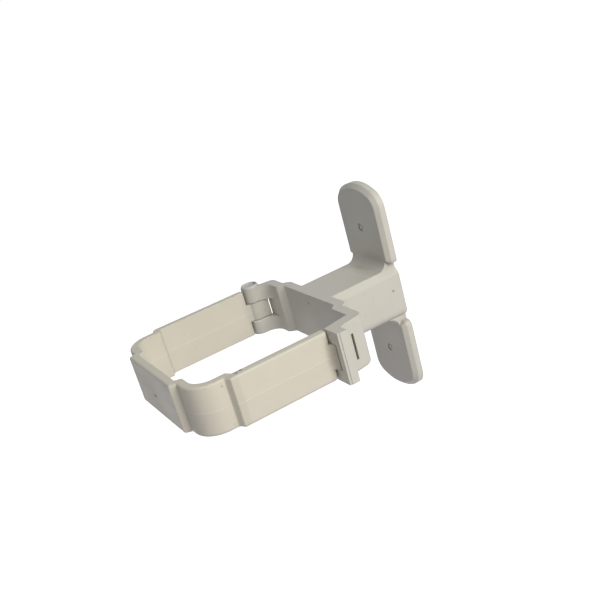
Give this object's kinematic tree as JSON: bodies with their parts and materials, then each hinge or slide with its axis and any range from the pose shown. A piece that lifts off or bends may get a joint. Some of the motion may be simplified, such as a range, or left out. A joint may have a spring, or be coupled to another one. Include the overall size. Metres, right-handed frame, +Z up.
{
  "type": "downspout hanger",
  "caption": "Moulded wall hanger for a square downspout: screw ears and a standoff arm carry a saddle, and a hinged strap snaps shut round the pipe.",
  "frame": {"origin": "middle of the wall face, halfway between the two screw ears", "axes": "+Z up along the pipe, +Y into the wall, -Y out to the strap's front, +X towards the snap latch, -X towards the hinge"},
  "size_m": [0.0997, 0.1263, 0.1086],
  "materials": {
    "bracket_pvc": "satin moulded PVC, light stone grey",
    "strap_pvc": "satin moulded PVC, warm light grey",
    "pin_pvc": "satin moulded PVC, light grey"
  },
  "bodies": {
    "bracket": {"wall_bracket": "bracket_pvc", "hinge_pin": "pin_pvc"},
    "strap": {"strap": "strap_pvc"}
  },
  "joints": [
    {"name": "strap_hinge", "type": "hinge", "parent": "bracket", "child": "strap", "pos_m": [-0.0426, -0.0519, 0], "axis": [0, 0, -1], "range_deg": [0, 120]}
  ]
}
